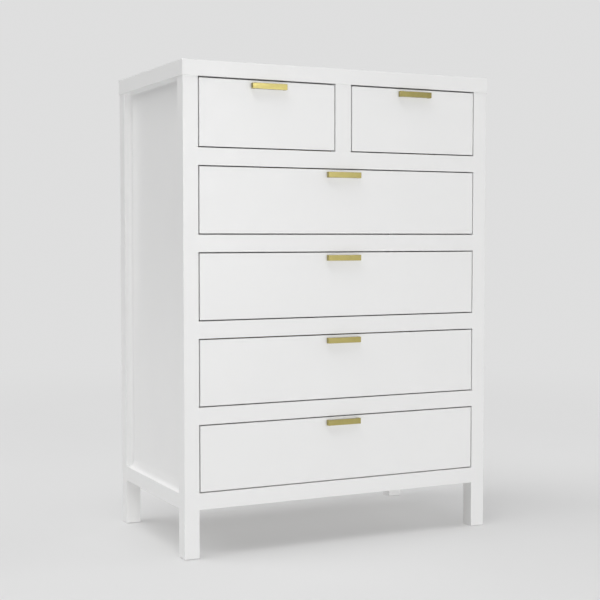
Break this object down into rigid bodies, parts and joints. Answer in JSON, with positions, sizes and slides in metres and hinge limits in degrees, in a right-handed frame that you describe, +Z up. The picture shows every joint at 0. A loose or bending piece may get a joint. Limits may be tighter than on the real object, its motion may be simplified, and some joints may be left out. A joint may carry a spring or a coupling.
{
  "type": "dresser",
  "caption": "Tall dresser on square post legs: inset flat drawer fronts with bar pulls, each drawer sliding out on side-mounted metal slides.",
  "frame": {"origin": "on the floor, in the middle of the whole footprint, pulls included", "axes": "+Z up, +X to the right of a person facing the drawers, drawers open towards -Y"},
  "size_m": [0.9144, 0.518, 1.27],
  "materials": {
    "white_paint": "satin white paint over wood",
    "cabinet_wood": "clear-lacquered light wood inside the case",
    "drawer_wood": "clear-lacquered birch drawer box",
    "brass": "brushed brass",
    "zinc_steel": "zinc-plated rolled steel"
  },
  "bodies": {
    "carcass": {"top_panel": "white_paint", "front_left_post": "white_paint", "front_right_post": "white_paint", "back_left_post": "white_paint", "back_right_post": "white_paint", "left_side_panel": "white_paint", "right_side_panel": "white_paint", "left_side_rail": "white_paint", "right_side_rail": "white_paint", "back_panel": "white_paint", "front_rail_1": "white_paint", "front_rail_2": "white_paint", "front_rail_3": "white_paint", "front_rail_4": "white_paint", "front_bottom_rail": "white_paint", "back_bottom_rail": "white_paint", "top_center_stile": "white_paint", "top_partition": "cabinet_wood", "channel_top_left_left": "zinc_steel", "channel_top_left_right": "zinc_steel", "channel_top_right_left": "zinc_steel", "channel_top_right_right": "zinc_steel", "channel_second_left": "zinc_steel", "channel_second_right": "zinc_steel", "channel_third_left": "zinc_steel", "channel_third_right": "zinc_steel", "channel_fourth_left": "zinc_steel", "channel_fourth_right": "zinc_steel", "channel_bottom_left": "zinc_steel", "channel_bottom_right": "zinc_steel"},
    "drawer_top_left": {"drawer_top_left_front": "white_paint", "drawer_top_left_box": "drawer_wood", "drawer_top_left_pull": "brass", "runner_top_left_left": "zinc_steel", "runner_top_left_right": "zinc_steel"},
    "drawer_top_right": {"drawer_top_right_front": "white_paint", "drawer_top_right_box": "drawer_wood", "drawer_top_right_pull": "brass", "runner_top_right_left": "zinc_steel", "runner_top_right_right": "zinc_steel"},
    "drawer_second": {"drawer_second_front": "white_paint", "drawer_second_box": "drawer_wood", "drawer_second_pull": "brass", "runner_second_left": "zinc_steel", "runner_second_right": "zinc_steel"},
    "drawer_third": {"drawer_third_front": "white_paint", "drawer_third_box": "drawer_wood", "drawer_third_pull": "brass", "runner_third_left": "zinc_steel", "runner_third_right": "zinc_steel"},
    "drawer_fourth": {"drawer_fourth_front": "white_paint", "drawer_fourth_box": "drawer_wood", "drawer_fourth_pull": "brass", "runner_fourth_left": "zinc_steel", "runner_fourth_right": "zinc_steel"},
    "drawer_bottom": {"drawer_bottom_front": "white_paint", "drawer_bottom_box": "drawer_wood", "drawer_bottom_pull": "brass", "runner_bottom_left": "zinc_steel", "runner_bottom_right": "zinc_steel"}
  },
  "joints": [
    {"name": "drawer_top_left_slide", "type": "slide", "parent": "carcass", "child": "drawer_top_left", "axis": [0, -1, 0], "range_m": [0, 0.35]},
    {"name": "drawer_top_right_slide", "type": "slide", "parent": "carcass", "child": "drawer_top_right", "axis": [0, -1, 0], "range_m": [0, 0.35]},
    {"name": "drawer_second_slide", "type": "slide", "parent": "carcass", "child": "drawer_second", "axis": [0, -1, 0], "range_m": [0, 0.35]},
    {"name": "drawer_third_slide", "type": "slide", "parent": "carcass", "child": "drawer_third", "axis": [0, -1, 0], "range_m": [0, 0.35]},
    {"name": "drawer_fourth_slide", "type": "slide", "parent": "carcass", "child": "drawer_fourth", "axis": [0, -1, 0], "range_m": [0, 0.35]},
    {"name": "drawer_bottom_slide", "type": "slide", "parent": "carcass", "child": "drawer_bottom", "axis": [0, -1, 0], "range_m": [0, 0.35]}
  ]
}
